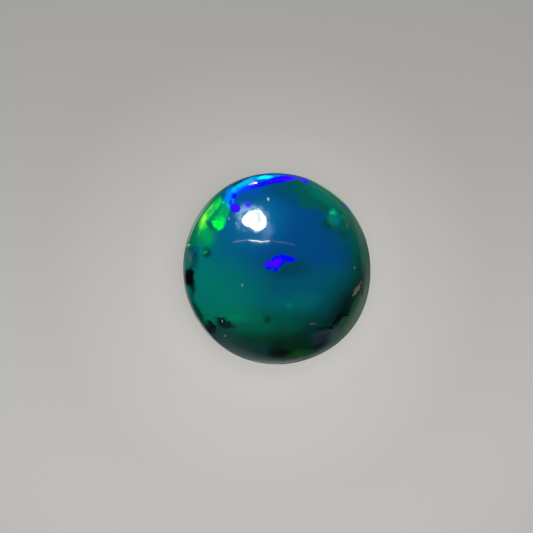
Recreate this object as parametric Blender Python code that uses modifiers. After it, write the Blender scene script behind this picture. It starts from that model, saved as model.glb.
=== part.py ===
"""Round black opal cabochon: one loose polished stone with a domed top, a narrow girdle and a flat back.

Metres, +Z up. The origin is the centre of the flat back, and +Z runs out through the top of the dome.
The stone is one solid, turned about Z from a half outline.
"""

import math

import bpy
from mathutils import Vector
from mathutils.geometry import interpolate_bezier

MM = 0.001

# Driving dimensions
DIAMETER = 10.0 * MM
DOME_HEIGHT = 2.05 * MM
GIRDLE_HEIGHT = 0.3 * MM
BACK_HEIGHT = 1.05 * MM
FLAT_BACK_DIAMETER = 7.6 * MM

# The edges left by the polishing wheel. BACK_SLOPE is measured from the upright at the girdle, and
# BACK_CREASE from the flat back, where the bevel ends
DOME_EDGE_RADIUS = 0.12 * MM
BACK_EDGE_RADIUS = 0.12 * MM
BACK_SLOPE = math.radians(32)
BACK_BULGE = 0.30
BACK_CREASE = math.radians(14)

# Facets
TURN_STEPS = 96
DOME_POINTS = 20
BACK_POINTS = 7
EDGE_POINTS = 4
MERGE_WITHIN = 0.001 * MM

RADIUS = DIAMETER / 2
GIRDLE_BOTTOM = BACK_HEIGHT
GIRDLE_TOP = GIRDLE_BOTTOM + GIRDLE_HEIGHT
TOTAL_HEIGHT = GIRDLE_TOP + DOME_HEIGHT

# Measured off the photograph's middle tone: a deep blue-green, polished
BODY_COLOUR = (0.0, 0.095, 0.145, 1.0)
BODY_ROUGHNESS = 0.04
OPAL_IOR = 1.45


def clear_scene():
    for obj in list(bpy.data.objects):
        bpy.data.objects.remove(obj, do_unlink=True)


def outline_point(radius, height):
    """A point of the half outline, which lies in the XZ plane."""
    return Vector((radius, 0.0, height))


def bezier(start, start_handle, end_handle, end, count):
    """Points along one Bezier stretch, with both of its ends."""
    return interpolate_bezier(start, start_handle, end_handle, end, count)


def arc(centre, radius, from_angle, to_angle, count):
    """Points along an arc. Angles run from the horizontal, and are positive upwards."""
    angles = [from_angle + (to_angle - from_angle) * i / (count - 1) for i in range(count)]
    return [
        centre + outline_point(radius * math.cos(angle), radius * math.sin(angle)) for angle in angles
    ]


def dome_radius():
    """The radius of the round dome, which runs smoothly into its rounded edge."""
    reach = RADIUS - DOME_EDGE_RADIUS
    rise = DOME_HEIGHT - DOME_EDGE_RADIUS
    return (reach**2 + DOME_HEIGHT**2 - DOME_EDGE_RADIUS**2) / (2 * rise)


def edge_angle():
    """How far above the horizontal the dome faces where its rounded edge starts."""
    reach = RADIUS - DOME_EDGE_RADIUS
    return math.acos(reach / (dome_radius() - DOME_EDGE_RADIUS))


def dome():
    """The dome, from its top down to where its rounded edge starts."""
    centre = outline_point(0.0, TOTAL_HEIGHT - dome_radius())
    return arc(centre, dome_radius(), math.pi / 2, edge_angle(), DOME_POINTS)


def dome_edge():
    """The rounded edge between the dome and the upright girdle, from the top down."""
    centre = outline_point(RADIUS - DOME_EDGE_RADIUS, GIRDLE_TOP)
    return arc(centre, DOME_EDGE_RADIUS, edge_angle(), 0.0, EDGE_POINTS)


def back_edge():
    """The rounded edge between the girdle and the back's bevel, from the top down."""
    centre = outline_point(RADIUS - BACK_EDGE_RADIUS, GIRDLE_BOTTOM)
    return arc(centre, BACK_EDGE_RADIUS, 0.0, -BACK_SLOPE, EDGE_POINTS)


def back_bevel(start):
    """The bulging bevel from the girdle in to the flat back, which it meets at a slight crease."""
    end = outline_point(FLAT_BACK_DIAMETER / 2, 0.0)
    reach = (end - start).length * BACK_BULGE
    down = outline_point(-math.sin(BACK_SLOPE), -math.cos(BACK_SLOPE))
    outward = outline_point(math.cos(BACK_CREASE), math.sin(BACK_CREASE))
    return bezier(start, start + down * reach, end + outward * reach, end, BACK_POINTS)


def stone_outline():
    """The stone's half outline, from the top of the dome to the middle of the flat back."""
    lower_edge = back_edge()
    return (
        dome()[:-1]
        + dome_edge()
        + lower_edge
        + back_bevel(lower_edge[-1])[1:]
        + [outline_point(0.0, 0.0)]
    )


def polished_opal():
    material = bpy.data.materials.new("polished_black_opal")
    material.use_nodes = True
    shader = material.node_tree.nodes["Principled BSDF"]
    shader.inputs["Base Color"].default_value = BODY_COLOUR
    shader.inputs["Roughness"].default_value = BODY_ROUGHNESS
    shader.inputs["Metallic"].default_value = 0.0
    shader.inputs["IOR"].default_value = OPAL_IOR
    return material


def turned_stone(name, outline, material, collection):
    """One solid, made by turning the half outline about Z."""
    mesh = bpy.data.meshes.new(name)
    mesh.from_pydata(outline, [(i, i + 1) for i in range(len(outline) - 1)], [])
    mesh.materials.append(material)
    stone = bpy.data.objects.new(name, mesh)
    collection.objects.link(stone)
    turn = stone.modifiers.new("turn", "SCREW")
    turn.axis = "Z"
    turn.steps = TURN_STEPS
    turn.render_steps = TURN_STEPS
    turn.use_merge_vertices = True
    turn.merge_threshold = MERGE_WITHIN
    turn.use_smooth_shade = True
    return stone


def main():
    clear_scene()
    collection = bpy.data.collections.new("black_opal_cabochon")
    bpy.context.scene.collection.children.link(collection)
    turned_stone("cabochon", stone_outline(), polished_opal(), collection)


main()
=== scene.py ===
"""The finished look of a round black opal cabochon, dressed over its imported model.

Metres, +Z up. The origin is the centre of the flat back, where the stone rests on the floor.
Places and sizes of the opal's colours are in millimetres on the plan, seen from above with +Y up.
"""

import math
from functools import partial

import bmesh
import bpy
from mathutils import Matrix, Vector, noise
from mathutils.geometry import interpolate_bezier

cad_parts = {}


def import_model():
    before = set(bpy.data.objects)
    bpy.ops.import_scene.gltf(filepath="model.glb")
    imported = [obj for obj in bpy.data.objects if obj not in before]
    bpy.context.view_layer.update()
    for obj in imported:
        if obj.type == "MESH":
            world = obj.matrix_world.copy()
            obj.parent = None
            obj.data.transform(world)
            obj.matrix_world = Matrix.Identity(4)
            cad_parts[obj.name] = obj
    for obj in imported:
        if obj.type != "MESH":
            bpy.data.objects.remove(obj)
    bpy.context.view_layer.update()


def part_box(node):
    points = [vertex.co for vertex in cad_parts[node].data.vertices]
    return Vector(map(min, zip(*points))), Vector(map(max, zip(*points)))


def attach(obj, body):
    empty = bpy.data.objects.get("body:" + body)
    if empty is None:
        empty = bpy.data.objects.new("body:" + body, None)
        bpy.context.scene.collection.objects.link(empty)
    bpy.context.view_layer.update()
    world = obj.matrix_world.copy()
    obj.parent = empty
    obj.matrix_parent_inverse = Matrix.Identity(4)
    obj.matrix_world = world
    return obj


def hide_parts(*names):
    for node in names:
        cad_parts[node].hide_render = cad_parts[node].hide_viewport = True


MM = 0.001

# The stone's outline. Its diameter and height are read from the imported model
GIRDLE_BOTTOM = 1.05 * MM
GIRDLE_TOP = 1.35 * MM
FLAT_BACK_DIAMETER = 7.6 * MM
DOME_EDGE_RADIUS = 0.12 * MM
BACK_EDGE_RADIUS = 0.12 * MM
BACK_SLOPE = math.radians(32)
BACK_BULGE = 0.30
BACK_CREASE = math.radians(14)

# How finely the stone is turned
TURN_STEPS = 320
DOME_POINTS = 96
EDGE_POINTS = 9
GIRDLE_POINTS = 6
BACK_POINTS = 20
FLAT_POINTS = 8
MERGE_WITHIN = 0.0005 * MM

# The polish is never quite even: how deep and how wide its waves are, and the height over which they grow
# to that, from the foot of the girdle up
POLISH_WAVE_DEPTH = 0.006 * MM
POLISH_WAVE_LENGTH = 2.2 * MM
POLISH_WAVE_RISE = 1.35 * MM

# The stone is cut by hand, so it isn't quite round: where its outline swells or draws in, as the bearing
# clockwise from the top in degrees, how far that reaches to each side in degrees, and its height. The
# higher SWELL_POWER is, the more it keeps to the rim
OUTLINE_SWELLS = (
    (20, 60, -0.062 * MM),
    (125, 45, 0.103 * MM),
    (210, 30, 0.05 * MM),
    (325, 40, 0.04 * MM),
)
SWELL_POWER = 6

# The camera looks down on the stone from above and a little to the left. The picture is square, and the
# stone's middle is at this pixel of it, from its top left corner
IMAGE_SIZE = 533
STONE_CENTRE_PIXEL = (278.2, 268.4)
PIXELS_PER_METRE = 19.24 / MM
CAMERA_TILT = math.radians(15)
CAMERA_DISTANCE = 150 * MM
CLIP_START = 1 * MM
SENSOR_WIDTH_MM = 36.0
VIEWPOINT = Vector((-math.sin(CAMERA_TILT), 0.0, math.cos(CAMERA_TILT)))


def outline_point(radius, height):
    """A point of the half outline, which lies in the XZ plane."""
    return Vector((radius, 0.0, height))


def arc(centre, radius, from_angle, to_angle, count):
    """Points along an arc. Angles run from the horizontal, and are positive upwards."""
    angles = [from_angle + (to_angle - from_angle) * i / (count - 1) for i in range(count)]
    return [
        centre + outline_point(radius * math.cos(angle), radius * math.sin(angle)) for angle in angles
    ]


def straight(start, end, count):
    """Points along a straight stretch, with neither of its ends."""
    return [start.lerp(end, i / (count + 1)) for i in range(1, count + 1)]


def dome_outline(radius, height):
    """The round dome and its rounded edge, from the top of the dome down to the upright girdle."""
    rise = height - GIRDLE_TOP
    reach = radius - DOME_EDGE_RADIUS
    curve = (reach**2 + rise**2 - DOME_EDGE_RADIUS**2) / (2 * (rise - DOME_EDGE_RADIUS))
    edge_angle = math.acos(reach / (curve - DOME_EDGE_RADIUS))
    dome = arc(outline_point(0.0, height - curve), curve, math.pi / 2, edge_angle, DOME_POINTS)
    edge_centre = outline_point(reach, GIRDLE_TOP)
    return dome[:-1] + arc(edge_centre, DOME_EDGE_RADIUS, edge_angle, 0.0, EDGE_POINTS)


def stone_outline(radius, height):
    """The stone's half outline, from the top of the dome to the middle of the flat back."""
    upper = dome_outline(radius, height)
    edge_centre = outline_point(radius - BACK_EDGE_RADIUS, GIRDLE_BOTTOM)
    back_edge = arc(edge_centre, BACK_EDGE_RADIUS, 0.0, -BACK_SLOPE, EDGE_POINTS)
    start = back_edge[-1]
    end = outline_point(FLAT_BACK_DIAMETER / 2, 0.0)
    reach = (end - start).length * BACK_BULGE
    down = outline_point(-math.sin(BACK_SLOPE), -math.cos(BACK_SLOPE))
    outward = outline_point(math.cos(BACK_CREASE), math.sin(BACK_CREASE))
    bevel = interpolate_bezier(start, start + down * reach, end + outward * reach, end, BACK_POINTS)
    middle = outline_point(0.0, 0.0)
    return (
        upper
        + straight(upper[-1], back_edge[0], GIRDLE_POINTS)
        + back_edge
        + bevel[1:]
        + straight(end, middle, FLAT_POINTS)
        + [middle]
    )


def outline_swell(bearing):
    """How far the outline swells at a bearing in degrees."""
    swell = 0.0
    for middle, reach, height in OUTLINE_SWELLS:
        away = abs((bearing - middle + 180) % 360 - 180)
        if away < reach:
            swell += height * (0.5 + 0.5 * math.cos(math.pi * away / reach))
    return swell


def swell_out(verts, radius):
    """Takes the stone a little out of round, most of all at its rim, but never past its full width."""
    for vert in verts:
        reach = math.hypot(vert.co.x, vert.co.y)
        if reach < MERGE_WITHIN:
            continue
        bearing = math.degrees(math.atan2(vert.co.x, vert.co.y))
        stretch = 1 + outline_swell(bearing) / radius * (reach / radius) ** SWELL_POWER
        vert.co.x = max(-radius, min(radius, vert.co.x * stretch))
        vert.co.y = max(-radius, min(radius, vert.co.y * stretch))


def wave_in(verts):
    """Sinks the polished dome a few thousandths of a millimetre here and there."""
    for vert in verts:
        share = min(1.0, max(0.0, (vert.co.z - GIRDLE_BOTTOM) / POLISH_WAVE_RISE))
        swell = 0.5 + 0.5 * noise.noise(vert.co / POLISH_WAVE_LENGTH)
        vert.co -= vert.normal * POLISH_WAVE_DEPTH * swell * share


def turned_stone(name, radius, height):
    """The whole stone, turned about Z from its half outline, as one closed mesh."""
    shape = bmesh.new()
    points = [shape.verts.new(place) for place in stone_outline(radius, height)]
    edges = [shape.edges.new(pair) for pair in zip(points[:-1], points[1:])]
    bmesh.ops.spin(
        shape,
        geom=points + edges,
        cent=(0, 0, 0),
        axis=(0, 0, 1),
        dvec=(0, 0, 0),
        angle=math.tau,
        steps=TURN_STEPS,
        use_merge=True,
    )
    bmesh.ops.remove_doubles(shape, verts=shape.verts, dist=MERGE_WITHIN)
    bmesh.ops.recalc_face_normals(shape, faces=shape.faces)
    swell_out(shape.verts, radius)
    shape.normal_update()
    wave_in(shape.verts)
    for face in shape.faces:
        face.smooth = True
    mesh = bpy.data.meshes.new(name)
    shape.to_mesh(mesh)
    shape.free()
    stone = bpy.data.objects.new(name, mesh)
    bpy.context.scene.collection.objects.link(stone)
    return stone


def screen_colour(red, green, blue):
    """A colour given as it looks on a screen, 0 to 255, as the linear colour that a shader takes."""
    shares = [value / 255 for value in (red, green, blue)]
    linear = [v / 12.92 if v <= 0.04045 else ((v + 0.055) / 1.055) ** 2.4 for v in shares]
    return (*linear, 1.0)


# The body's colours, from blue to near black
ROYAL_BLUE = screen_colour(0, 54, 100)
SHADED_BLUE = screen_colour(0, 50, 66)
STEEL_BLUE = screen_colour(0, 57, 78)
# A lighter blue painted round the window's highlight, as its glow on the body
HIGHLIGHT_GLOW_BLUE = screen_colour(0, 77, 117)
OCEAN = screen_colour(0, 72, 97)
DEEP_TEAL = screen_colour(0, 65, 84)
LAGOON = screen_colour(0, 88, 90)
DIM_TEAL = screen_colour(2, 56, 60)
SEA_GREEN = screen_colour(0, 93, 85)
LEAF_GREEN = screen_colour(0, 94, 72)
PINE_GREEN = screen_colour(0, 71, 58)
SPRUCE = screen_colour(0, 61, 56)
BOTTLE_GREEN = screen_colour(5, 43, 26)
MOSS_BLACK = screen_colour(6, 36, 22)
DUSK_TEAL = screen_colour(3, 34, 34)
DUSK_GREEN = screen_colour(3, 24, 20)

# The green shoulder, its jade spot and the rim, with a pale highlight painted along the rim's rounded edge
SHOULDER_GREEN = screen_colour(1, 66, 60)
MEADOW_GREEN = screen_colour(4, 76, 58)
POOL_TEAL = screen_colour(2, 96, 96)
JADE = screen_colour(0, 118, 72)
SPOT_GREEN = screen_colour(4, 146, 96)
# A pale green painted along the rounded edge as its highlight
RIM_HIGHLIGHT_JADE = screen_colour(118, 150, 124)
RIM_MOSS = screen_colour(2, 66, 46)
RIM_GREEN = screen_colour(1, 45, 32)

# The flash along the top rim, and the violet marks
VIOLET = screen_colour(58, 0, 212)
ULTRAMARINE = screen_colour(0, 2, 200)
BRIGHT_BLUE = screen_colour(0, 46, 198)
AZURE = screen_colour(0, 103, 204)
SKY_CYAN = screen_colour(0, 146, 184)
ICE_CYAN = screen_colour(0, 215, 222)
NIGHT_TEAL = screen_colour(0, 60, 66)

# The green flash
LIME = screen_colour(132, 208, 56)
GRASS = screen_colour(100, 176, 66)
PALE_GRASS = screen_colour(76, 166, 78)
LIGHT_EMERALD = screen_colour(0, 206, 60)
EMERALD = screen_colour(30, 178, 56)
MID_EMERALD = screen_colour(2, 140, 64)
BLADE_GREEN = screen_colour(0, 126, 74)
DEEP_JADE = screen_colour(0, 106, 70)
FIR = screen_colour(2, 84, 60)

# Potch, mist and the dark marks, and pale tones that are partly a painted reflection in the rim
POTCH = screen_colour(6, 18, 14)
INK_BLACK = screen_colour(2, 6, 9)
NAVY = screen_colour(14, 20, 30)
MIST_NAVY = screen_colour(24, 36, 50)
MIST_SLATE = screen_colour(30, 46, 50)
MIST_GREEN = screen_colour(27, 57, 42)
SLATE_TEAL = screen_colour(18, 50, 50)
FOG_TEAL = screen_colour(40, 84, 80)
STREAK_GREEN = screen_colour(6, 62, 18)
# Pale tones, partly potch and partly a painted reflection of the pale surroundings in the rim
PALE_MIST_AND_REFLECTION = screen_colour(62, 84, 70)
PALE_SLATE_AND_REFLECTION = screen_colour(64, 78, 78)

# The painted halo round the window's highlight, the flakes and the specks
# A pale blue painted as the glow round the window's highlight
PAINTED_HALO_BLUE = screen_colour(100, 142, 184)
FLAKE_BROWN = screen_colour(98, 80, 76)
TAN = screen_colour(80, 76, 52)
DUST = screen_colour(165, 178, 165)


def grey(value):
    return (value, value, value, 1.0)


BLACK = grey(0.0)
WHITE = grey(1.0)


def add_node(tree, kind, **settings):
    made = tree.nodes.new(kind)
    for name, value in settings.items():
        setattr(made, name, value)
    return made


def feed(tree, socket, value):
    """Gives a socket a link from another socket, or a plain value."""
    if isinstance(value, bpy.types.NodeSocket):
        tree.links.new(value, socket)
    else:
        socket.default_value = value


def maths(tree, operation, first, second):
    made = add_node(tree, "ShaderNodeMath", operation=operation)
    feed(tree, made.inputs[0], first)
    feed(tree, made.inputs[1], second)
    return made.outputs[0]


def vector_maths(tree, operation, first, second=(0.0, 0.0, 0.0)):
    made = add_node(tree, "ShaderNodeVectorMath", operation=operation)
    feed(tree, made.inputs[0], first)
    if operation == "SCALE":
        feed(tree, made.inputs["Scale"], second)
    else:
        feed(tree, made.inputs[1], second)
    return made.outputs["Value" if operation in ("LENGTH", "DOT_PRODUCT") else "Vector"]


def axis_share(tree, place, axis):
    """One coordinate of a place."""
    direction = [0.0, 0.0, 0.0]
    direction[axis] = 1.0
    return vector_maths(tree, "DOT_PRODUCT", place, direction)


def smooth_range(tree, value, low, high, to_low=0.0, to_high=1.0):
    """Runs smoothly from to_low, where the value is low, to to_high, where it is high."""
    made = add_node(tree, "ShaderNodeMapRange", interpolation_type="SMOOTHSTEP")
    feed(tree, made.inputs["Value"], value)
    feed(tree, made.inputs["From Min"], low)
    feed(tree, made.inputs["From Max"], high)
    feed(tree, made.inputs["To Min"], to_low)
    feed(tree, made.inputs["To Max"], to_high)
    return made.outputs["Result"]


def mixed(tree, share, under, over):
    made = add_node(tree, "ShaderNodeMix", data_type="RGBA")
    feed(tree, made.inputs["Factor"], share)
    feed(tree, made.inputs["A"], under)
    feed(tree, made.inputs["B"], over)
    return made.outputs["Result"]


def blended_stops(tree, value, stops):
    """Blends from colour to colour along a value. Each stop is its value and its colour."""
    low = stops[0][0]
    reach = stops[-1][0] - low
    made = add_node(tree, "ShaderNodeValToRGB")
    share = maths(tree, "DIVIDE", maths(tree, "SUBTRACT", value, low), reach)
    feed(tree, made.inputs["Fac"], share)
    elements = made.color_ramp.elements
    elements[1].color = stops[-1][1]
    elements[0].color = stops[0][1]
    for place, colour in stops[1:-1]:
        elements.new((place - low) / reach).color = colour
    return made.outputs["Color"]


def noise_value(tree, place, scale, detail, output="Fac"):
    made = add_node(tree, "ShaderNodeTexNoise")
    feed(tree, made.inputs["Vector"], place)
    feed(tree, made.inputs["Scale"], scale)
    made.inputs["Detail"].default_value = detail
    return made.outputs[output]


NUMBER = "NodeSocketFloat"
VECTOR = "NodeSocketVector"
COLOUR = "NodeSocketColor"


def new_group(name, inputs, outputs):
    """An empty node group. Its inputs and outputs are sockets by name, each with its kind."""
    group = bpy.data.node_groups.new(name, "ShaderNodeTree")
    for label, kind in inputs.items():
        group.interface.new_socket(label, in_out="INPUT", socket_type=kind)
    for label, kind in outputs.items():
        group.interface.new_socket(label, in_out="OUTPUT", socket_type=kind)
    given = group.nodes.new("NodeGroupInput").outputs
    result = group.nodes.new("NodeGroupOutput").inputs
    return group, given, result


# A noise seldom strays more than a quarter from its middle, so its reach is stretched by this
NOISE_STRETCH = 4.0


def uneven_place_group():
    """Shifts each place a little along the plan, so that what is drawn there gets an uneven edge."""
    inputs = {"Place": VECTOR, "Reach": NUMBER, "Fineness": NUMBER}
    group, given, result = new_group("Uneven Place", inputs, {"Place": VECTOR})
    swirl = noise_value(group, given["Place"], given["Fineness"], detail=2.0, output="Color")
    centred = vector_maths(group, "SUBTRACT", swirl, (0.5, 0.5, 0.5))
    stretched = maths(group, "MULTIPLY", given["Reach"], NOISE_STRETCH)
    shift = vector_maths(group, "SCALE", centred, stretched)
    flat_shift = vector_maths(group, "MULTIPLY", shift, (1.0, 1.0, 0.0))
    feed(group, result["Place"], vector_maths(group, "ADD", given["Place"], flat_shift))
    return group


def along_and_across(tree, place, along, across):
    """How far a place lies along each of two axes."""
    spot = add_node(tree, "ShaderNodeCombineXYZ")
    feed(tree, spot.inputs["X"], vector_maths(tree, "DOT_PRODUCT", place, along))
    feed(tree, spot.inputs["Y"], vector_maths(tree, "DOT_PRODUCT", place, across))
    return spot.outputs["Vector"]


# Each patch of colour is tied to the one under it by next to nothing, so that the renderer works them out
# one after another. All at once, they would take more memory than it gives to one material
PATCH_TIE = 1e-7


def colour_patch_group():
    """Lays one oval patch of colour over what is under it.

    Along is the patch's long axis on the plan, divided by its half length. Across is its short axis,
    divided by its half width.
    """
    inputs = {
        "Under": COLOUR,
        "Colour": COLOUR,
        "Place": VECTOR,
        "Centre": VECTOR,
        "Along": VECTOR,
        "Across": VECTOR,
        "Softness": NUMBER,
        "Strength": NUMBER,
    }
    group, given, result = new_group("Colour Patch", inputs, {"Colour": COLOUR})
    tie = vector_maths(group, "SCALE", given["Under"], PATCH_TIE)
    place = vector_maths(group, "ADD", given["Place"], tie)
    offset = vector_maths(group, "SUBTRACT", place, given["Centre"])
    spot = along_and_across(group, offset, given["Along"], given["Across"])
    distance = vector_maths(group, "LENGTH", spot)
    outer = maths(group, "ADD", 1.0, given["Softness"])
    inner = maths(group, "SUBTRACT", 1.0, given["Softness"])
    inside = smooth_range(group, distance, outer, inner)
    share = maths(group, "MULTIPLY", inside, given["Strength"])
    feed(group, result["Colour"], mixed(group, share, given["Under"], given["Colour"]))
    return group


# Where the noise turns from the gap beside a streak to the streak itself
STREAK_EDGE = (0.36, 0.62)


def streaks_group():
    """Fine uneven streaks that run one way.

    Along is the way that they run, divided by their length. Across is the way across them, times their
    fineness.
    """
    inputs = {"Place": VECTOR, "Along": VECTOR, "Across": VECTOR, "Least": NUMBER}
    group, given, result = new_group("Streaks", inputs, {"Mask": NUMBER})
    spot = along_and_across(group, given["Place"], given["Along"], given["Across"])
    grain = noise_value(group, spot, scale=1.0, detail=2.0)
    feed(group, result["Mask"], smooth_range(group, grain, *STREAK_EDGE, given["Least"]))
    return group


def mottle_group():
    """Scattered blotches with fairly sharp edges."""
    inputs = {"Place": VECTOR, "Fineness": NUMBER, "Threshold": NUMBER, "Softness": NUMBER}
    group, given, result = new_group("Mottle", inputs, {"Mask": NUMBER})
    blotches = noise_value(group, given["Place"], given["Fineness"], detail=3.0)
    low = maths(group, "SUBTRACT", given["Threshold"], given["Softness"])
    high = maths(group, "ADD", given["Threshold"], given["Softness"])
    feed(group, result["Mask"], smooth_range(group, blotches, low, high))
    return group


def leaning_axes(turn):
    """The directions along and across a mark on the plan that is turned by so many degrees."""
    lean = math.radians(turn)
    along = Vector((math.cos(lean), math.sin(lean), 0.0))
    across = Vector((-math.sin(lean), math.cos(lean), 0.0))
    return along, across


class Painting:
    """Colours laid one over another on the stone, each at its place on the plan."""

    def __init__(self, tree, groups):
        self.tree = tree
        self.groups = groups
        self.colour = BLACK

    def add_group(self, kind, **inputs):
        """Adds one of the node groups with these inputs, and gives what it puts out."""
        made = add_node(self.tree, "ShaderNodeGroup", node_tree=self.groups[kind])
        for label, value in inputs.items():
            feed(self.tree, made.inputs[label], value)
        return made.outputs[0]

    def lay(self, place, colour, at, size, turn=0, soft=0.6, strength=1.0):
        """Lays one oval patch: its middle, its half length and half width, and its turn in degrees."""
        along, across = leaning_axes(turn)
        self.colour = self.add_group(
            "patch",
            Under=self.colour,
            Colour=colour,
            Place=place,
            Centre=(*at, 0.0),
            Along=along / size[0],
            Across=across / size[1],
            Softness=soft,
            Strength=strength,
        )

    def uneven(self, place, reach, fineness):
        """Places for a mark whose border strays by this reach in millimetres."""
        return self.add_group("uneven", Place=place, Reach=reach, Fineness=fineness)

    def streaks(self, place, turn, fineness, length, least=0.0):
        along, across = leaning_axes(turn)
        return self.add_group(
            "streaks", Place=place, Along=along / length, Across=across * fineness, Least=least
        )

    def mottle(self, place, fineness, threshold, softness):
        return self.add_group(
            "mottle", Place=place, Fineness=fineness, Threshold=threshold, Softness=softness
        )


# The radius that the stone's rim is unrolled at
RIM_RADIUS_MM = 5.0


def unrolled_rim(tree, plan):
    """The plan unrolled along the rim: millimetres clockwise from the top, and distance from the middle."""
    bearing = maths(tree, "ARCTAN2", axis_share(tree, plan, 0), axis_share(tree, plan, 1))
    unrolled = add_node(tree, "ShaderNodeCombineXYZ")
    feed(tree, unrolled.inputs["X"], maths(tree, "MULTIPLY", bearing, RIM_RADIUS_MM))
    feed(tree, unrolled.inputs["Y"], vector_maths(tree, "LENGTH", plan))
    return unrolled.outputs["Vector"]


def rim(bearing, radius):
    """A place on the unrolled rim, from its bearing in degrees clockwise from the top."""
    return (math.radians(bearing) * RIM_RADIUS_MM, radius)


# The way that blue turns to green, and the heights between which each band fades into the one below
TOWARDS_GREEN = (-0.78, -0.62, 0.0)
MIDDLE_BAND_MM = (0.8, -0.7)
LOWER_BAND_MM = (-1.5, -2.6)
DARK_BAND_MM = (-2.5, -4.0)


def body_fields(tree, plan):
    """The broad fields of body colour, in four bands from blue above to dark green below. The darkening
    into the lowest band is partly painted shade, partly the body's own dark green.

    All but the last turn greener towards the lower left.
    """
    height = axis_share(tree, plan, 1)
    sideways = vector_maths(tree, "DOT_PRODUCT", plan, TOWARDS_GREEN)
    upper = blended_stops(tree, sideways, ((0.5, ROYAL_BLUE), (1.7, OCEAN), (3.0, LAGOON)))
    middle = blended_stops(tree, sideways, ((1.0, DEEP_TEAL), (3.4, SEA_GREEN)))
    lower = blended_stops(
        tree, sideways, ((-0.6, DUSK_TEAL), (0.9, SPRUCE), (2.2, PINE_GREEN), (3.3, LEAF_GREEN))
    )
    colour = mixed(tree, smooth_range(tree, height, *MIDDLE_BAND_MM), upper, middle)
    colour = mixed(tree, smooth_range(tree, height, *LOWER_BAND_MM), colour, lower)
    return mixed(tree, smooth_range(tree, height, *DARK_BAND_MM), colour, BOTTLE_GREEN)


# The border of the broadest fields, which strays far in wide bends
SOFT_EDGE = {"reach": 0.16, "fineness": 0.7}


def lay_fields(paint, plan):
    """Soft deeper and lighter places in the body colour."""
    lay = partial(paint.lay, paint.uneven(plan, **SOFT_EDGE))
    lay(SHADED_BLUE, (0.05, 0.0), (1.05, 0.48), soft=0.8, strength=0.8)
    lay(LAGOON, (0.75, -1.75), (1.15, 0.5), soft=0.9, strength=0.5)
    # Painted light: the body lighter round the window's highlight
    lay(HIGHLIGHT_GLOW_BLUE, (-1.65, 2.5), (1.5, 1.25), turn=20, soft=0.7, strength=0.9)
    lay(PINE_GREEN, (-2.0, -3.05), (0.9, 0.35), soft=0.7, strength=0.5)
    # The lower edge, darker: partly dark potch, partly painted shade
    lay(MOSS_BLACK, (0.5, -4.0), (1.6, 0.6), turn=6, soft=0.5, strength=0.8)
    lay(SLATE_TEAL, (-1.2, -4.15), (0.8, 0.36), turn=4, soft=0.7, strength=0.65)
    lay(DUSK_TEAL, (1.9, -3.0), (0.9, 0.5), turn=20, strength=0.8)
    # Painted shade down the right side, partly the body's own dark green
    lay(DIM_TEAL, (3.0, -1.15), (1.9, 0.5), turn=50, soft=0.8, strength=0.9)
    lay(DUSK_TEAL, (3.15, -1.95), (1.4, 0.42), turn=50, soft=0.8, strength=0.9)
    lay(DUSK_GREEN, (3.7, -1.9), (1.3, 0.42), turn=55, soft=0.5)
    lay(RIM_GREEN, (4.75, 0.0), (1.15, 2.3), soft=0.4)
    lay(DUSK_GREEN, (4.6, -0.4), (0.55, 1.1), strength=0.6)


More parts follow.
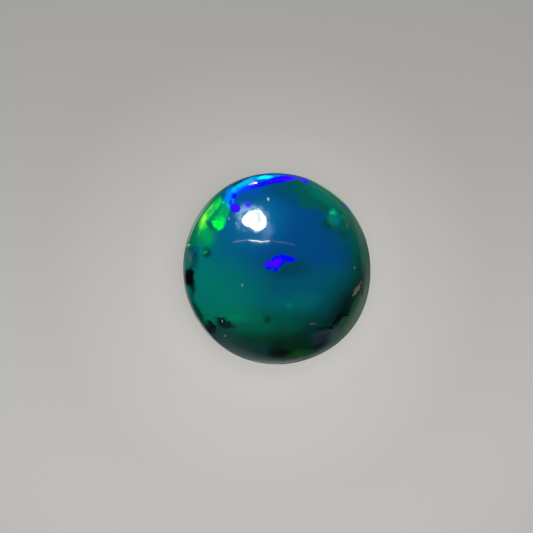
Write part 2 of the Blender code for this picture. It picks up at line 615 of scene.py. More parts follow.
def lay_upper_right(paint, plan, rim_place):
    """The green shoulder at the upper right, with its ragged border against the blue."""
    fade = partial(paint.lay, paint.uneven(plan, **SOFT_EDGE))
    lay = partial(paint.lay, paint.uneven(plan, reach=0.12, fineness=2.2))
    lay_on_rim = partial(paint.lay, rim_place)
    # The deeper blue that the shoulder borders on
    fade(STEEL_BLUE, (0.35, 4.0), (0.85, 0.6))
    fade(STEEL_BLUE, (2.6, 1.7), (1.3, 0.5), turn=-55, soft=0.8, strength=0.45)
    fade(STEEL_BLUE, (3.7, 0.9), (0.55, 1.2), strength=0.8)
    # The shoulder, and the ragged ends that it runs out in
    lay(SHOULDER_GREEN, (1.9, 4.05), (1.5, 0.75), turn=-22, soft=0.35)
    lay(SHOULDER_GREEN, (1.1, 3.42), (0.34, 0.3), soft=0.5)
    lay(SHOULDER_GREEN, (3.2, 3.1), (1.75, 0.85), turn=-47, soft=0.3)
    lay(MEADOW_GREEN, (2.9, 3.5), (1.3, 0.4), turn=-44)
    lay(SHOULDER_GREEN, (1.98, 3.14), (0.52, 0.25), turn=-25, soft=0.5)
    lay(SHOULDER_GREEN, (2.62, 2.32), (0.5, 0.32), turn=-10, soft=0.5)
    lay(SHOULDER_GREEN, (4.15, 1.5), (1.2, 0.5), turn=-78, soft=0.4)
    lay(SHOULDER_GREEN, (3.22, 1.65), (0.5, 0.3), turn=-62, strength=0.75)
    # The jade spot with the shade round it, and the small flakes beside it
    lay(RIM_GREEN, (2.35, 2.28), (0.36, 0.28), soft=0.7, strength=0.55)
    lay(RIM_GREEN, (3.2, 1.75), (0.3, 0.2), turn=-30, soft=0.8, strength=0.4)
    lay(POOL_TEAL, (2.76, 2.64), (0.36, 0.38), turn=-20, strength=0.8)
    lay(JADE, (2.8, 2.88), (0.18, 0.11), turn=15, soft=0.5, strength=0.9)
    lay(SPOT_GREEN, (2.67, 2.92), (0.17, 0.08), turn=24, soft=0.5)
    lay(OCEAN, (2.92, 2.62), (0.07, 0.12), turn=-20, soft=0.5)
    lay(JADE, (3.36, 2.62), (0.06, 0.1), turn=25, strength=0.8)
    lay(FLAKE_BROWN, (3.52, 2.34), (0.14, 0.14), turn=-30, soft=0.8, strength=0.2)
    # The shoulder's lightest part, and its dark lower end
    lay(SEA_GREEN, (2.1, 3.85), (0.9, 0.28), turn=-36, soft=0.8, strength=0.5)
    lay(SPRUCE, (4.05, 0.35), (0.32, 0.8), soft=0.7, strength=0.85)
    lay(RIM_GREEN, (4.18, 0.1), (0.22, 0.65), soft=0.8, strength=0.5)
    # The edge of the dome: dark lines along the inner border of the mirrored crescent, moss green, and a
    # pale highlight painted along the rounded edge
    lay_on_rim(RIM_GREEN, rim(42, 4.78), (1.3, 0.04), turn=-4, strength=0.45)
    lay_on_rim(RIM_GREEN, rim(61, 4.5), (0.9, 0.06), turn=-8, strength=0.8)
    lay_on_rim(RIM_HIGHLIGHT_JADE, rim(34, 4.91), (1.0, 0.05), strength=0.9)
    lay_on_rim(RIM_HIGHLIGHT_JADE, rim(58, 4.95), (0.8, 0.05), soft=0.7, strength=0.45)
    lay_on_rim(RIM_MOSS, rim(74, 4.7), (1.3, 0.22), strength=0.8)


def lay_top_flash(paint, rim_place):
    """The flash along the top rim, from icy cyan outside to violet inside."""
    lay = partial(paint.lay, paint.uneven(rim_place, reach=0.03, fineness=3.0))
    # The end at the green flash, and the cyan stretch after it
    lay(NIGHT_TEAL, rim(-30.5, 4.88), (0.62, 0.2), turn=2, soft=0.4)
    lay(OCEAN, rim(-37.8, 4.86), (0.2, 0.17), turn=2, soft=0.5, strength=0.9)
    lay(AZURE, rim(-37.5, 4.46), (0.32, 0.2), turn=30, soft=0.3)
    lay(AZURE, rim(-28, 4.66), (1.0, 0.18), turn=4, soft=0.3)
    lay(AZURE, rim(-33.5, 4.8), (0.26, 0.13), turn=10, strength=0.7)
    lay(SKY_CYAN, rim(-31.2, 4.73), (0.16, 0.09), turn=20)
    lay(SKY_CYAN, rim(-23, 4.82), (0.75, 0.09), turn=4, soft=0.5)
    lay(SKY_CYAN, rim(-41.2, 4.3), (0.16, 0.1), turn=40, strength=0.6)
    # The blue along its inner side
    lay(BRIGHT_BLUE, rim(-38.5, 4.36), (0.18, 0.08), turn=30, soft=0.5)
    lay(BRIGHT_BLUE, rim(-23, 4.54), (1.0, 0.1), turn=4, soft=0.5)
    lay(ULTRAMARINE, rim(-33.7, 4.49), (0.19, 0.12), turn=14, soft=0.4)
    # The long violet stretch, cyan on its outer side
    lay(AZURE, rim(-6, 4.76), (1.0, 0.11), turn=-1, soft=0.35)
    lay(ICE_CYAN, rim(-9.4, 4.79), (0.4, 0.085), turn=-3, soft=0.5)
    lay(ULTRAMARINE, rim(-9, 4.48), (1.25, 0.11), turn=3, soft=0.35)
    lay(ULTRAMARINE, rim(0.5, 4.64), (0.98, 0.15), turn=9, soft=0.3)
    lay(VIOLET, rim(5, 4.67), (0.5, 0.09), turn=9, soft=0.7, strength=0.65)
    lay(VIOLET, rim(-4.5, 4.56), (0.4, 0.06), turn=9, soft=0.7, strength=0.4)
    # The spots past its end, and a violet glint painted on the rim
    lay(ULTRAMARINE, rim(16.4, 4.77), (0.28, 0.11), turn=-4, soft=0.35)
    lay(VIOLET, rim(15.6, 4.79), (0.15, 0.07), turn=-4)
    # A painted glint: a small violet flare on the rim
    paint.lay(rim_place, VIOLET, rim(48.5, 4.93), (0.22, 0.05), soft=0.5, strength=0.8)


def lay_blue_smears(paint, plan):
    """Blue marks just inside the flash."""
    lay = partial(paint.lay, paint.uneven(plan, reach=0.05, fineness=3.5))
    lay(BRIGHT_BLUE, (-1.85, 4.03), (0.26, 0.1), turn=12, strength=0.7)
    lay(BRIGHT_BLUE, (-1.25, 3.95), (0.22, 0.07), turn=25, soft=0.7, strength=0.45)
    lay(STEEL_BLUE, (-1.6, 3.68), (0.6, 0.25), turn=8, soft=0.7, strength=0.4)
    lay(BRIGHT_BLUE, (-2.25, 3.5), (0.4, 0.3), soft=0.9, strength=0.12)
    lay(BRIGHT_BLUE, (-1.6, 3.8), (0.38, 0.12), turn=10, soft=0.9, strength=0.22)


def lay_violet_marks(paint, plan):
    """The violet patch near the middle and the two violet dots."""
    torn = paint.uneven(plan, reach=0.045, fineness=4.0)
    blue = partial(paint.lay, torn, ULTRAMARINE, soft=0.18)
    blue((-1.03, 0.16), (0.2, 0.23), turn=14)
    blue((-0.62, 0.36), (0.34, 0.31), turn=50)
    blue((-0.42, 0.24), (0.34, 0.12), turn=40)
    blue((-0.36, 0.58), (0.26, 0.16), turn=5)
    blue((0.04, 0.48), (0.34, 0.16), turn=-4)
    blue((-0.69, -0.03), (0.14, 0.15), turn=-20)
    violet = partial(paint.lay, torn, VIOLET, soft=0.7)
    violet((-0.95, 0.24), (0.22, 0.11), turn=15)
    violet((-0.6, 0.3), (0.24, 0.15), turn=40)
    dot = partial(paint.lay, paint.uneven(plan, reach=0.02, fineness=5.0))
    dot(ULTRAMARINE, (-2.52, 3.11), (0.25, 0.23), soft=0.2)
    dot(VIOLET, (-2.52, 3.12), (0.18, 0.15), soft=0.5, strength=0.85)
    dot(BRIGHT_BLUE, (-1.87, 3.28), (0.17, 0.13), soft=0.7, strength=0.8)
    dot(VIOLET, (-1.87, 3.29), (0.11, 0.08), soft=0.7, strength=0.9)


# How strongly the strands of the painted halo show
HALO_STRAND_STRENGTH = 0.42


def lay_painted_halo(paint, plan):
    """A painted highlight halo: a milky blue glow with fine strands, painted into the colour round the
    window's reflection.
    """
    smeared = paint.uneven(plan, reach=0.06, fineness=5.0)
    strands = paint.streaks(smeared, turn=75, fineness=12.0, length=0.4)
    grain = maths(paint.tree, "MULTIPLY", strands, HALO_STRAND_STRENGTH)
    halo_patch = partial(paint.lay, smeared, PAINTED_HALO_BLUE, soft=0.8)
    halo_patch((-2.24, 2.97), (0.34, 0.14), turn=50, strength=0.62)
    halo_patch((-1.9, 3.08), (0.34, 0.1), turn=22, strength=0.75)
    halo_patch((-1.4, 3.14), (0.24, 0.06), turn=-6, strength=0.3)
    halo_patch((-1.1, 2.94), (0.3, 0.07), turn=-50, strength=0.2)
    halo_patch((-2.4, 2.4), (0.42, 0.13), turn=84, strength=grain)
    halo_patch((-2.31, 2.82), (0.26, 0.035), turn=80, strength=0.5)
    halo_patch((-2.52, 2.26), (0.14, 0.035), turn=-75, strength=0.3)
    halo_patch((-2.2, 1.95), (0.08, 0.04), turn=-30, strength=0.25)
    halo_patch((-1.62, 1.9), (0.14, 0.07), turn=-12, strength=0.7)
    halo_patch((-1.02, 1.85), (0.4, 0.22), turn=60, strength=0.22)
    halo_patch((-0.95, 2.4), (0.5, 0.07), turn=88, strength=0.14)


def lay_green_flash(paint, plan, rim_place):
    """The bright green flash at the upper left: a streaked lime band and an emerald blade inside it."""
    lay = partial(paint.lay, paint.uneven(plan, reach=0.04, fineness=3.0))
    fray = partial(paint.lay, paint.uneven(plan, reach=0.05, fineness=6.0))
    lay_on_rim = partial(paint.lay, rim_place)
    streaks = paint.streaks(plan, turn=55, fineness=9.0, length=0.8, least=0.1)
    # The green that it fades into
    lay(FIR, (-4.35, 2.2), (1.75, 0.42), turn=62, soft=0.3)
    lay(DEEP_JADE, (-4.02, 1.75), (0.75, 0.46), turn=80, strength=0.85)
    lay(MID_EMERALD, (-4.12, 1.92), (0.42, 0.22), turn=78, strength=streaks)
    lay(BLADE_GREEN, (-3.92, 1.6), (0.3, 0.2), turn=80, soft=0.8, strength=0.8)
    # The blade and the band
    lay(BLADE_GREEN, (-3.24, 2.8), (0.86, 0.34), turn=63, soft=0.15)
    lay(EMERALD, (-3.66, 3.02), (0.78, 0.23), turn=54, soft=0.15)
    lay(EMERALD, (-4.04, 2.42), (0.45, 0.19), turn=72, soft=0.3)
    # Streaks in the band, and its tip
    lay(MID_EMERALD, (-3.56, 3.06), (0.62, 0.16), turn=54, soft=0.4, strength=streaks)
    lay(PALE_GRASS, (-3.76, 3.12), (0.75, 0.11), turn=52, soft=0.5, strength=streaks)
    lay(LIGHT_EMERALD, (-3.32, 3.36), (0.24, 0.09), turn=54, soft=0.7, strength=0.72)
    lay(MID_EMERALD, (-3.36, 3.5), (0.3, 0.13), turn=50, soft=0.5, strength=0.8)
    lay_on_rim(MID_EMERALD, rim(-42.5, 4.86), (0.2, 0.08), turn=10, strength=0.8)
    lay(EMERALD, (-3.84, 2.66), (0.2, 0.08), turn=60, strength=0.8)
    # The dark line between band and blade
    fray(DEEP_JADE, (-3.46, 2.86), (0.56, 0.085), turn=49, soft=0.5, strength=0.95)
    fray(DEEP_JADE, (-3.27, 2.86), (0.34, 0.035), turn=55, soft=0.7, strength=0.7)
    lay(MID_EMERALD, (-3.2, 2.95), (0.2, 0.05), turn=60, strength=0.9)
    # The bright heart of the blade
    fray(LIGHT_EMERALD, (-3.36, 2.54), (0.2, 0.16), turn=50, soft=0.7, strength=0.4)
    fray(LIGHT_EMERALD, (-3.4, 2.26), (0.25, 0.22), turn=-30, soft=0.15)
    fray(LIGHT_EMERALD, (-3.56, 2.37), (0.13, 0.1), turn=-25, soft=0.3)
    fray(LIGHT_EMERALD, (-3.36, 2.04), (0.13, 0.09), turn=20, soft=0.4, strength=0.7)
    fray(LIGHT_EMERALD, (-3.18, 2.4), (0.26, 0.13), turn=78, soft=0.5, strength=0.6)
    # The lime part of the band
    lay(GRASS, (-4.14, 2.38), (0.3, 0.09), turn=72, strength=streaks)
    lay(LIME, (-4.03, 2.56), (0.22, 0.08), turn=62, soft=0.7)
    lay(GRASS, (-4.28, 1.94), (0.24, 0.05), turn=76, soft=0.7, strength=0.18)
    # Dark gaps, and a fleck at the tip
    fray(FIR, (-3.8, 2.24), (0.26, 0.11), turn=-58, soft=0.4)
    fray(FIR, (-3.6, 2.02), (0.14, 0.06), turn=-40, strength=0.6)
    lay(ICE_CYAN, (-3.06, 3.4), (0.07, 0.035), turn=-40, strength=0.5)
    # The edge of the dome: a dark green strip, and a pale highlight painted along the rounded edge
    lay_on_rim(FIR, rim(-45, 4.98), (1.5, 0.1), soft=0.5, strength=0.9)
    lay_on_rim(RIM_HIGHLIGHT_JADE, rim(-62, 5.03), (1.2, 0.05), strength=0.8)


def lay_dark_marks(paint, plan, rim_place):
    """Dark inclusions of potch near the rim, and the greyish patches beside them."""
    lay = partial(paint.lay, paint.uneven(plan, reach=0.06, fineness=3.5))
    lay_on_rim = partial(paint.lay, rim_place)
    blotches = paint.mottle(plan, fineness=2.6, threshold=0.46, softness=0.07)
    # The left rim: grey patches, a green dot in a dark one, and ink
    lay(NIGHT_TEAL, (-4.62, 0.85), (0.22, 0.3), soft=0.5)
    lay(OCEAN, (-4.48, 0.95), (0.1, 0.16), soft=0.7, strength=0.8)
    lay(DUSK_TEAL, (-4.62, 0.35), (0.2, 0.45), turn=-8, strength=0.6)
    lay(SLATE_TEAL, (-4.8, 0.55), (0.13, 0.34), soft=0.7, strength=0.8)
    lay(FOG_TEAL, (-4.81, 0.6), (0.13, 0.36), soft=0.7, strength=0.9)
    lay(RIM_GREEN, (-4.0, 0.8), (0.21, 0.25), soft=0.45, strength=0.85)
    lay(JADE, (-4.1, 0.83), (0.13, 0.09), soft=0.5, strength=0.9)
    lay(DUSK_TEAL, (-4.66, -0.95), (0.14, 0.4), turn=8)
    lay(INK_BLACK, (-4.79, -0.48), (0.21, 0.5), soft=0.35)
    lay_on_rim(RIM_GREEN, rim(-117, 4.92), (0.9, 0.14), soft=0.7, strength=0.8)
    lay(DUSK_TEAL, (-4.37, -2.12), (0.3, 0.05), turn=-62, soft=0.7, strength=0.8)
    lay(DUSK_TEAL, (-4.18, -2.45), (0.25, 0.05), turn=-58, soft=0.7, strength=0.8)
    # The lower left: slate, ink and a ragged dark mark
    lay(SLATE_TEAL, (-2.65, -3.7), (1.1, 0.42), turn=-36, soft=0.5, strength=0.8)
    lay(MIST_SLATE, (-3.2, -3.72), (0.8, 0.14), turn=-42, soft=0.7, strength=0.5)
    lay(NAVY, (-3.85, -2.92), (0.2, 0.1), turn=-50, soft=0.7, strength=0.6)
    lay(NAVY, (-3.66, -3.12), (0.3, 0.19), turn=-40, soft=0.4)
    lay(INK_BLACK, (-3.66, -2.86), (0.27, 0.09), turn=-46, soft=0.45, strength=0.9)
    lay(DUSK_GREEN, (-3.05, -2.84), (0.42, 0.22), turn=-25, soft=0.4, strength=blotches)
    lay(DUSK_GREEN, (-3.28, -2.56), (0.3, 0.07), turn=-4, strength=0.85)
    lay(INK_BLACK, (-3.12, -2.76), (0.2, 0.14), turn=-40, soft=0.5, strength=0.85)
    lay(DUSK_GREEN, (-2.85, -2.95), (0.34, 0.13), turn=-12, strength=0.8)
    lay(DUSK_GREEN, (-3.24, -3.0), (0.22, 0.12), turn=-30, soft=0.7, strength=0.45)
    # Pale slate along the lower rim, partly potch and partly a painted reflection of the pale surroundings
    lay_on_rim(PALE_SLATE_AND_REFLECTION, rim(-163, 4.93), (1.2, 0.24), soft=0.8, strength=0.6)
    # Faint marks further in, and the dark lower edge
    lay(JADE, (-2.6, -2.55), (0.4, 0.16), turn=-8, soft=0.8, strength=0.4)
    lay(BOTTLE_GREEN, (-0.98, -2.64), (0.2, 0.18), strength=0.8)
    lay(JADE, (0.1, -1.95), (0.16, 0.14), soft=0.8, strength=0.35)
    lay(INK_BLACK, (-0.1, -4.4), (0.55, 0.22), turn=-4, strength=0.85)
    lay(DUSK_GREEN, (-0.35, -4.05), (0.3, 0.3), soft=0.8, strength=0.6)


def lay_lower_right(paint, plan, rim_place):
    """The dusky corner at the lower right: mist, ink, a green streak and a thin black seam."""
    torn = paint.uneven(plan, reach=0.05, fineness=3.0)
    lay = partial(paint.lay, torn)
    lay_on_rim = partial(paint.lay, rim_place)
    # The mist and the dark beside it
    lay(INK_BLACK, (2.95, -2.62), (0.4, 0.12), turn=55, soft=0.7, strength=0.6)
    lay(MIST_GREEN, (4.2, -1.95), (0.95, 0.36), turn=60, soft=0.3)
    lay(MIST_GREEN, (3.62, -2.98), (0.75, 0.52), turn=45, soft=0.15)
    # Slate and navy, with the green streak below
    lay(MIST_SLATE, (2.65, -3.66), (1.0, 0.46), turn=28, soft=0.3)
    lay(MIST_SLATE, (2.1, -3.38), (0.5, 0.2), turn=18, strength=0.9)
    lay(MIST_NAVY, (2.3, -3.6), (0.55, 0.2), turn=10, soft=0.7)
    lay(DUSK_GREEN, (2.15, -3.1), (0.32, 0.1), turn=12, strength=0.8)
    lay(NAVY, (2.1, -4.02), (0.52, 0.18), turn=22, strength=0.95)
    lay(STREAK_GREEN, (1.08, -4.4), (0.6, 0.15), turn=10)
    # The pale edge of the dome, and a pale patch inside it: partly pale potch, partly a painted reflection
    # of the pale surroundings
    lay_on_rim(PALE_MIST_AND_REFLECTION, rim(122, 4.88), (2.0, 0.3), soft=0.8, strength=0.95)
    lay_on_rim(PALE_SLATE_AND_REFLECTION, rim(152, 4.94), (0.9, 0.12), soft=0.7, strength=0.9)
    lay(PALE_SLATE_AND_REFLECTION, (2.92, -3.4), (0.34, 0.26), turn=45, soft=0.8, strength=0.45)
    seam = partial(paint.lay, torn, INK_BLACK, soft=0.3)
    seam((2.56, -3.1), (0.22, 0.06), turn=4)
    seam((2.8, -2.84), (0.23, 0.07), turn=72)
    seam((2.96, -2.52), (0.2, 0.07), turn=50)
    seam((3.24, -2.38), (0.15, 0.05), turn=-8)
    seam((3.5, -2.41), (0.17, 0.045), turn=2)
    lay(DUSK_GREEN, (4.46, -1.2), (0.24, 0.05), turn=84, soft=0.4)


def lay_specks(paint, plan):
    """Tiny flakes and pale specks just under the polish."""
    flake = partial(paint.lay, paint.uneven(plan, reach=0.035, fineness=5.0))
    flake(FLAKE_BROWN, (4.04, -1.13), (0.3, 0.12), turn=50, strength=0.8, soft=0.4)
    flake(FLAKE_BROWN, (4.24, -0.86), (0.24, 0.05), turn=66, strength=0.6, soft=0.5)
    flake(DUST, (3.86, -1.36), (0.12, 0.04), turn=48, strength=0.16)
    flake(RIM_MOSS, (4.14, -1.2), (0.16, 0.03), turn=60, strength=0.5)
    flake(TAN, (1.46, -2.87), (0.12, 0.05), strength=0.7)
    flake(TAN, (1.66, -2.87), (0.16, 0.03), strength=0.25)
    fleck = partial(paint.lay, plan, DUST, soft=0.7)
    fleck((-0.82, 3.57), (0.045, 0.075), strength=0.85)
    fleck((-2.88, 2.57), (0.03, 0.08), turn=-15, strength=0.3)
    fleck((-2.35, -0.86), (0.035, 0.08), strength=0.28)
    fleck((3.87, 0.04), (0.05, 0.05), strength=0.22)
    fleck((-3.18, -2.71), (0.025, 0.07), turn=15, strength=0.45)
    fleck((-2.95, -3.48), (0.05, 0.04), strength=0.25)
    fleck((-4.81, 1.2), (0.07, 0.035), turn=35, strength=0.6)


def worn_polish(tree, groups, plan):
    """White where the polish is dull, and black elsewhere: a small crescent, a fine arc and a fine rub."""
    wear = Painting(tree, groups)
    dull = partial(wear.lay, wear.uneven(plan, reach=0.03, fineness=4.0), WHITE)
    dull((-1.45, 2.54), (0.3, 0.18), turn=-84, soft=0.35, strength=0.61)
    dull((-1.47, 2.74), (0.19, 0.16), turn=-84, soft=0.5)
    dull((-1.57, 2.88), (0.1, 0.05), turn=-40)
    dull((-1.82, 2.44), (0.2, 0.07), turn=-28, strength=0.7)
    return wear.colour


def play_of_colour(tree, groups, plan):
    """All the colours of the dome, one laid over another."""
    rim_place = unrolled_rim(tree, plan)
    paint = Painting(tree, groups)
    paint.colour = body_fields(tree, paint.uneven(plan, **SOFT_EDGE))
    lay_fields(paint, plan)
    lay_upper_right(paint, plan, rim_place)
    lay_green_flash(paint, plan, rim_place)
    lay_top_flash(paint, rim_place)
    lay_blue_smears(paint, plan)
    lay_painted_halo(paint, plan)
    lay_violet_marks(paint, plan)
    lay_dark_marks(paint, plan, rim_place)
    lay_lower_right(paint, plan, rim_place)
    lay_specks(paint, plan)
    return paint.colour


# The heights between which the bare potch of the back gives way to the dome's colours, and the dull girdle
# to the polished dome
COLOUR_STARTS_MM = (1.12, 1.24)
POLISH_STARTS_MM = (1.32, 1.42)

# The stone's own soft shine, and the high polish over it. POLISH_LEFT is its share where it is worn
OPAL_IOR = 1.45
STONE_ROUGHNESS = 0.11
STONE_SPECULAR = 0.36
STONE_TINT = (0.7, 0.88, 1.0, 1.0)
WORN_ROUGHNESS = 0.4
POLISH_ROUGHNESS = 0.015
POLISH_LEFT = 0.33

# Faint ripples under the polish
RIPPLE_FINENESS = 2.6
RIPPLE_DEPTH = 0.006 * MM


def black_opal(groups):
    """Polished black opal: colour deep in a clear stone, under a high polish."""
    material = bpy.data.materials.new("black_opal")
    material.use_nodes = True
    tree = material.node_tree
    shader = tree.nodes["Principled BSDF"]
    place = add_node(tree, "ShaderNodeTexCoord").outputs["Object"]
    millimetres = vector_maths(tree, "SCALE", place, 1 / MM)
    plan = vector_maths(tree, "MULTIPLY", millimetres, (1.0, 1.0, 0.0))
    colours = play_of_colour(tree, groups, plan)
    height = axis_share(tree, millimetres, 2)
    dome_share = smooth_range(tree, height, *COLOUR_STARTS_MM)
    feed(tree, shader.inputs["Base Color"], mixed(tree, dome_share, POTCH, colours))
    polish = smooth_range(tree, height, *POLISH_STARTS_MM)
    wear = worn_polish(tree, groups, plan)
    polish_left = smooth_range(tree, wear, 0.0, 1.0, 1.0, POLISH_LEFT)
    feed(tree, shader.inputs["Coat Weight"], maths(tree, "MULTIPLY", polish, polish_left))
    ripples = noise_value(tree, plan, RIPPLE_FINENESS, detail=3.0)
    uneven = add_node(tree, "ShaderNodeBump")
    uneven.inputs["Distance"].default_value = RIPPLE_DEPTH
    feed(tree, uneven.inputs["Height"], ripples)
    feed(tree, shader.inputs["Normal"], uneven.outputs["Normal"])
    roughness = smooth_range(tree, wear, 0.0, 1.0, STONE_ROUGHNESS, WORN_ROUGHNESS)
    feed(tree, shader.inputs["Roughness"], roughness)
    shader.inputs["IOR"].default_value = OPAL_IOR
    shader.inputs["Specular IOR Level"].default_value = STONE_SPECULAR
    shader.inputs["Specular Tint"].default_value = STONE_TINT
    shader.inputs["Coat Roughness"].default_value = POLISH_ROUGHNESS
    shader.inputs["Coat IOR"].default_value = OPAL_IOR
    return material


# The floor is painted palest round the stone, with painted shade that deepens its tone towards the top of
# the picture and far away. By the stone it is painted lighter still, as painted light that keeps the
# stone's soft shadow faint: each stop is a distance and the lift
FLOOR_SIZE = 3.0
FLOOR_ROUGHNESS = 0.8
FLOOR_SPECULAR = 0.2
FLOOR_NEAR = (0.33, 0.322, 0.307, 1.0)
FLOOR_FAR_SIDE = (0.205, 0.202, 0.192, 1.0)
FLOOR_DISTANT = (0.17, 0.167, 0.159, 1.0)
FAR_SIDE_FADE = (-16 * MM, 18 * MM)
DISTANT_FADE = (14 * MM, 42 * MM)
SHADOW_LIFT = ((4.8 * MM, 0.42), (5.6 * MM, 0.28), (7.5 * MM, 0.12), (12.0 * MM, 0.0))

# How bright the polish mirrors the floor. Each stop is a side of the stone, from -1 at the bottom of the
# picture to 1 at its top, and a share of the greatest brightness
MIRRORED_MOST = 2.2
MIRRORED_SHARES = (
    (-0.87, 0.95),
    (-0.73, 0.72),
    (-0.5, 0.42),
    (-0.3, 0.32),
    (0.0, 0.36),
    (0.19, 0.25),
    (0.375, 0.46),
    (0.6, 0.25),
)


def add_floor():
    """The pale floor, with its painted shade and light. The polish mirrors its near side brighter than it
    is, and the rest darker.
    """
    bpy.ops.mesh.primitive_grid_add(x_subdivisions=2, y_subdivisions=2, size=FLOOR_SIZE)
    floor = bpy.context.object
    floor.name = "floor"
    material = bpy.data.materials.new("matte_grey_floor")
    material.use_nodes = True
    tree = material.node_tree
    shader = tree.nodes["Principled BSDF"]
    place = add_node(tree, "ShaderNodeTexCoord").outputs["Object"]
    far_side = axis_share(tree, place, 1)
    across = smooth_range(tree, far_side, *FAR_SIDE_FADE)
    reach = vector_maths(tree, "LENGTH", place)
    nearby = mixed(tree, across, FLOOR_NEAR, FLOOR_FAR_SIDE)
    seen = mixed(tree, smooth_range(tree, reach, *DISTANT_FADE), nearby, FLOOR_DISTANT)
    lift = blended_stops(tree, reach, [(distance, grey(share)) for distance, share in SHADOW_LIFT])
    seen = vector_maths(tree, "ADD", seen, vector_maths(tree, "MULTIPLY", seen, lift))
    side = maths(tree, "DIVIDE", far_side, reach)
    shares = blended_stops(tree, side, [(stop, grey(share)) for stop, share in MIRRORED_SHARES])
    brightness = vector_maths(tree, "SCALE", shares, MIRRORED_MOST)
    mirrored = vector_maths(tree, "MULTIPLY", seen, brightness)
    path = add_node(tree, "ShaderNodeLightPath")
    feed(tree, shader.inputs["Base Color"], mixed(tree, path.outputs["Is Glossy Ray"], seen, mirrored))
    shader.inputs["Roughness"].default_value = FLOOR_ROUGHNESS
    shader.inputs["Specular IOR Level"].default_value = FLOOR_SPECULAR
    floor.data.materials.append(material)


def towards(tilt, azimuth):
    """The direction that leans from straight up by tilt, towards azimuth, both in degrees."""
    lean = math.radians(tilt)
    turn = math.radians(azimuth)
    return Vector(
        (math.sin(lean) * math.cos(turn), math.sin(lean) * math.sin(turn), math.cos(lean))
    )


def oval_lamp(name, size, radiance, colour):
    """A flat oval lamp of this length and width."""
    data = bpy.data.lights.new(name, "AREA")
    data.shape = "ELLIPSE"
    data.size, data.size_y = size
    data.energy = radiance * math.pi * size[0] * size[1] * math.pi / 4
    data.color = colour
    lamp = bpy.data.objects.new(name, data)
    bpy.context.scene.collection.objects.link(lamp)
    return lamp


def face_stone(lamp, place, turn=0.0):
    """Puts a lamp at its place, facing the stone, turned by so many degrees. It casts no shadows."""
    back = place.normalized()
    side = Vector((0, 0, 1)).cross(back).normalized()
    basis = Matrix((side, back.cross(side), back)).transposed().to_4x4()
    spin = Matrix.Rotation(math.radians(turn), 4, "Z")
    lamp.matrix_world = Matrix.Translation(place) @ basis @ spin
    lamp.data.use_shadow = False


LAMP_DISTANCE = 300 * MM

# The window: round lamps side by side, as they are mirrored in the stone. Each lamp is its place across and
# up, and its half width and half height, in millimetres
WINDOW_TILT = 42.9
WINDOW_AZIMUTH = 103.9
WINDOW_RADIANCE = 24.0
WINDOW_LAMPS = (
    (-5, 6, 39, 47),
    (24, -5, 29, 29),
    (10, -14, 27, 27),
    (-19, -20, 20, 20),
)


def add_window():
    """Round lamps that overlap in one soft-cornered patch of light."""
    middle = towards(WINDOW_TILT, WINDOW_AZIMUTH)
    side = Vector((0, 0, 1)).cross(middle).normalized()
    up = middle.cross(side)
    for index, (across, above, half_width, half_height) in enumerate(WINDOW_LAMPS):
        size = (2 * half_width * MM, 2 * half_height * MM)
        lamp = oval_lamp(f"window_{index}", size, WINDOW_RADIANCE, (1, 1, 1))
        face_stone(lamp, middle * LAMP_DISTANCE + side * (across * MM) + up * (above * MM))


# The tube: a thin lamp that runs across overhead, brightest near its middle. Each stretch is the place of
# its middle, its length and width, all in millimetres, its slant in degrees and its radiance
TUBE_COLOUR = (1.0, 0.97, 0.83)
TUBE_STRETCHES = (
    (66, 117, 136, 5, -9.0, 1.6),
    (-146, 141, 100, 5, -1.0, 4.0),
    (-66, 131, 76, 6.5, -13.6, 22.0),
    (-22, 124, 52, 7, 5.0, 15.0),
)


def add_tube():
    """A thin tube light overhead, made of narrow lamps that taper towards their ends."""
    for index, (across, above, length, width, slant, radiance) in enumerate(TUBE_STRETCHES):
        lamp = oval_lamp(f"tube_{index}", (length * MM, width * MM), radiance, TUBE_COLOUR)
        lamp.location = (across * MM, above * MM, LAMP_DISTANCE)
        lamp.rotation_euler = (0.0, 0.0, math.radians(slant))


# The glint: two small lamps low behind the stone, mirrored in its top rim. Each is its tilt and azimuth in
# degrees, its length and width in millimetres, its slant in degrees and its radiance
GLINT_COLOUR = (1.0, 0.88, 0.98)
GLINT_LAMPS = (
    (76.8, 90.7, 15, 10, 15, 24.0),
    (75.9, 93.6, 22, 6, 15, 10.0),
)


def add_glint():
    for index, (tilt, azimuth, length, width, slant, radiance) in enumerate(GLINT_LAMPS):
        lamp = oval_lamp(f"glint_{index}", (length * MM, width * MM), radiance, GLINT_COLOUR)
        face_stone(lamp, towards(tilt, azimuth) * LAMP_DISTANCE, slant)


# The room: an even soft light all round, which the polish mirrors as near black, but for a glow low in
# front that lights the lower rim. GLOW_ENDS are the cosines between which it fades in from each side. It is
# laid out by the slope of dome that mirrors it: full at GLOW_SLOPE, up to GLOW_LIMIT times that on steeper
# slopes, and fading by a power on flatter ones, which GLOW_FADE_RIGHT raises towards the right
ROOM_LIGHT = 0.9
MIRRORED_ROOM = 0.006
GLOW_AZIMUTH = -75
GLOW_ENDS = (0.45, 0.7)
GLOW_SLOPE = 0.675
GLOW_FADE = 50.0
GLOW_FADE_RIGHT = 50.0
GLOW_STRENGTH = 0.75
GLOW_LIMIT = 2.8


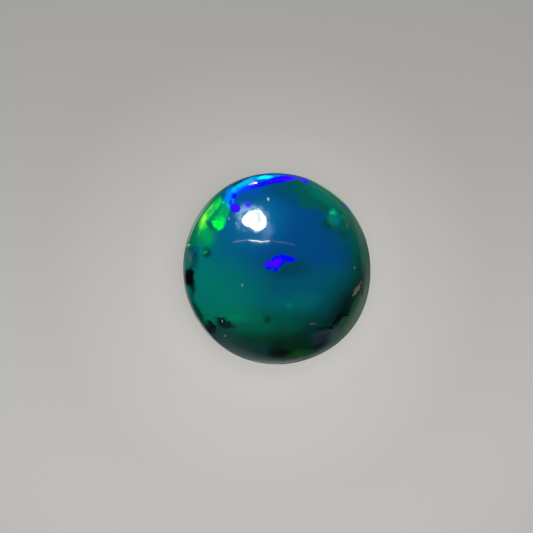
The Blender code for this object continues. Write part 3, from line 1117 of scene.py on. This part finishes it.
def rim_glow(tree, direction):
    """The glow's strength in each direction of the room."""
    slope = vector_maths(tree, "NORMALIZE", vector_maths(tree, "ADD", direction, VIEWPOINT))
    flat_slope = vector_maths(tree, "MULTIPLY", slope, (1.0, 1.0, 0.0))
    steepness = vector_maths(tree, "LENGTH", flat_slope)
    bearing = vector_maths(tree, "NORMALIZE", flat_slope)
    sideways = maths(tree, "MULTIPLY", axis_share(tree, bearing, 0), GLOW_FADE_RIGHT)
    fade = maths(tree, "ADD", sideways, GLOW_FADE)
    rise = maths(tree, "POWER", maths(tree, "DIVIDE", steepness, GLOW_SLOPE), fade)
    nearness = vector_maths(tree, "DOT_PRODUCT", bearing, towards(90, GLOW_AZIMUTH))
    ends = smooth_range(tree, nearness, *GLOW_ENDS)
    strength = maths(tree, "MULTIPLY", maths(tree, "MINIMUM", rise, GLOW_LIMIT), GLOW_STRENGTH)
    return maths(tree, "MULTIPLY", strength, ends)


def add_room():
    world = bpy.data.worlds.new("studio")
    bpy.context.scene.world = world
    world.use_nodes = True
    tree = world.node_tree
    background = tree.nodes["Background"]
    direction = add_node(tree, "ShaderNodeTexCoord").outputs["Object"]
    mirrored = maths(tree, "ADD", rim_glow(tree, direction), MIRRORED_ROOM)
    path = add_node(tree, "ShaderNodeLightPath")
    choice = add_node(tree, "ShaderNodeMix", data_type="FLOAT")
    feed(tree, choice.inputs["Factor"], path.outputs["Is Glossy Ray"])
    feed(tree, choice.inputs["A"], ROOM_LIGHT)
    feed(tree, choice.inputs["B"], mirrored)
    feed(tree, background.inputs["Strength"], choice.outputs["Result"])
    background.inputs["Color"].default_value = WHITE


def add_camera():
    data = bpy.data.cameras.new("camera")
    data.sensor_width = SENSOR_WIDTH_MM
    frame_width = IMAGE_SIZE / PIXELS_PER_METRE
    data.lens = SENSOR_WIDTH_MM * CAMERA_DISTANCE / frame_width
    data.clip_start = CLIP_START
    camera = bpy.data.objects.new("camera", data)
    bpy.context.scene.collection.objects.link(camera)
    up = Vector((0, 1, 0))
    right = up.cross(VIEWPOINT)
    middle = IMAGE_SIZE / 2
    across = (STONE_CENTRE_PIXEL[0] - middle) / PIXELS_PER_METRE
    down = (STONE_CENTRE_PIXEL[1] - middle) / PIXELS_PER_METRE
    aim = Vector((0, 0, GIRDLE_TOP)) - right * across + up * down
    basis = Matrix((right, up, VIEWPOINT)).transposed().to_4x4()
    camera.matrix_world = Matrix.Translation(aim + VIEWPOINT * CAMERA_DISTANCE) @ basis
    bpy.context.scene.camera = camera


def add_stone():
    """The dressed stone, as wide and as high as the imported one, which it stands for."""
    low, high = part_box("cabochon")
    stone = turned_stone("polished_cabochon", (high.x - low.x) / 2, high.z)
    groups = {
        "patch": colour_patch_group(),
        "uneven": uneven_place_group(),
        "streaks": streaks_group(),
        "mottle": mottle_group(),
    }
    stone.data.materials.append(black_opal(groups))
    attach(stone, "root")
    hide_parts("cabochon")


def main():
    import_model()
    add_stone()
    add_floor()
    add_window()
    add_tube()
    add_glint()
    add_room()
    add_camera()
    bpy.context.scene.view_settings.view_transform = "Standard"


main()
